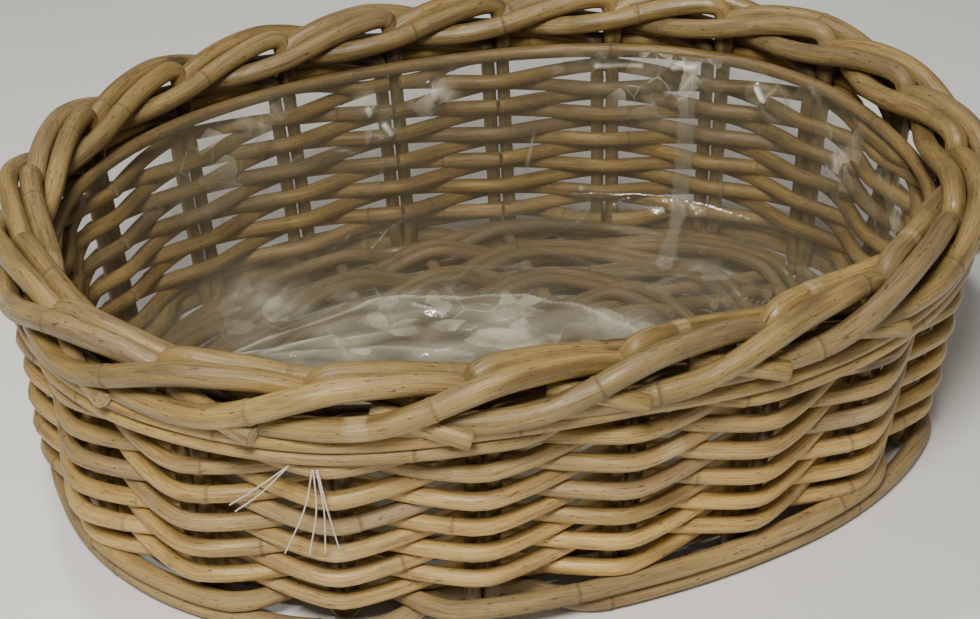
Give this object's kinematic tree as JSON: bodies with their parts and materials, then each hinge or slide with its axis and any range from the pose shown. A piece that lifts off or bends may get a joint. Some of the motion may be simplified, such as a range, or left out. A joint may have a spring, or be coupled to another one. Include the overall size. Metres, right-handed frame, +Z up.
{
  "type": "planter basket",
  "caption": "Oval rattan planter basket: over-under weave on paired stakes, rolled rope-like border, heavier foot courses and a clear film liner.",
  "frame": {"origin": "middle of the footprint, on the surface the basket stands on", "axes": "+X along the long way of the oval, +Y across it towards the side away from the thread ends, +Z up"},
  "size_m": [0.5046, 0.4058, 0.159],
  "materials": {
    "rattan_stake": "natural rattan skin, light tan, satin with glossy streaks",
    "rattan_row": "natural rattan skin, tan to grey-brown, satin",
    "rattan_top_course": "natural rattan skin, brown, satin",
    "rattan_foot": "natural rattan skin, grey-brown, satin",
    "rattan_base": "natural rattan, grey-brown, dull",
    "clear_film": "clear thin polyethylene film, glossy, creased",
    "thread": "off-white stitching thread"
  },
  "bodies": {
    "root": {"base_cross_stick_1": "rattan_base", "base_cross_stick_2": "rattan_base", "base_cross_stick_3": "rattan_base", "base_long_stick_1": "rattan_base", "base_long_stick_2": "rattan_base", "base_long_stick_3": "rattan_base", "base_long_stick_4": "rattan_base", "base_ring_1": "rattan_base", "base_ring_2": "rattan_base", "base_ring_3": "rattan_base", "base_ring_4": "rattan_base", "base_ring_5": "rattan_base", "film_liner": "clear_film", "foot_course_1": "rattan_foot", "foot_course_2": "rattan_foot", "stake_01": "rattan_stake", "stake_02": "rattan_stake", "stake_03": "rattan_stake", "stake_04": "rattan_stake", "stake_05": "rattan_stake", "stake_06": "rattan_stake", "stake_07": "rattan_stake", "stake_08": "rattan_stake", "stake_09": "rattan_stake", "stake_10": "rattan_stake", "stake_11": "rattan_stake", "stake_12": "rattan_stake", "stake_13": "rattan_stake", "stake_14": "rattan_stake", "stake_15": "rattan_stake", "stake_16": "rattan_stake", "stake_17": "rattan_stake", "stake_18": "rattan_stake", "stake_19": "rattan_stake", "stake_20": "rattan_stake", "thread_left": "thread", "thread_middle": "thread", "thread_right": "thread", "top_course": "rattan_top_course", "wall_row_01": "rattan_row", "wall_row_02": "rattan_row", "wall_row_03": "rattan_row", "wall_row_04": "rattan_row", "wall_row_05": "rattan_row", "wall_row_06": "rattan_row", "wall_row_07": "rattan_row", "wall_row_08": "rattan_row", "wall_row_09": "rattan_row", "wall_row_10": "rattan_row", "wall_row_11": "rattan_row"}
  },
  "joints": []
}
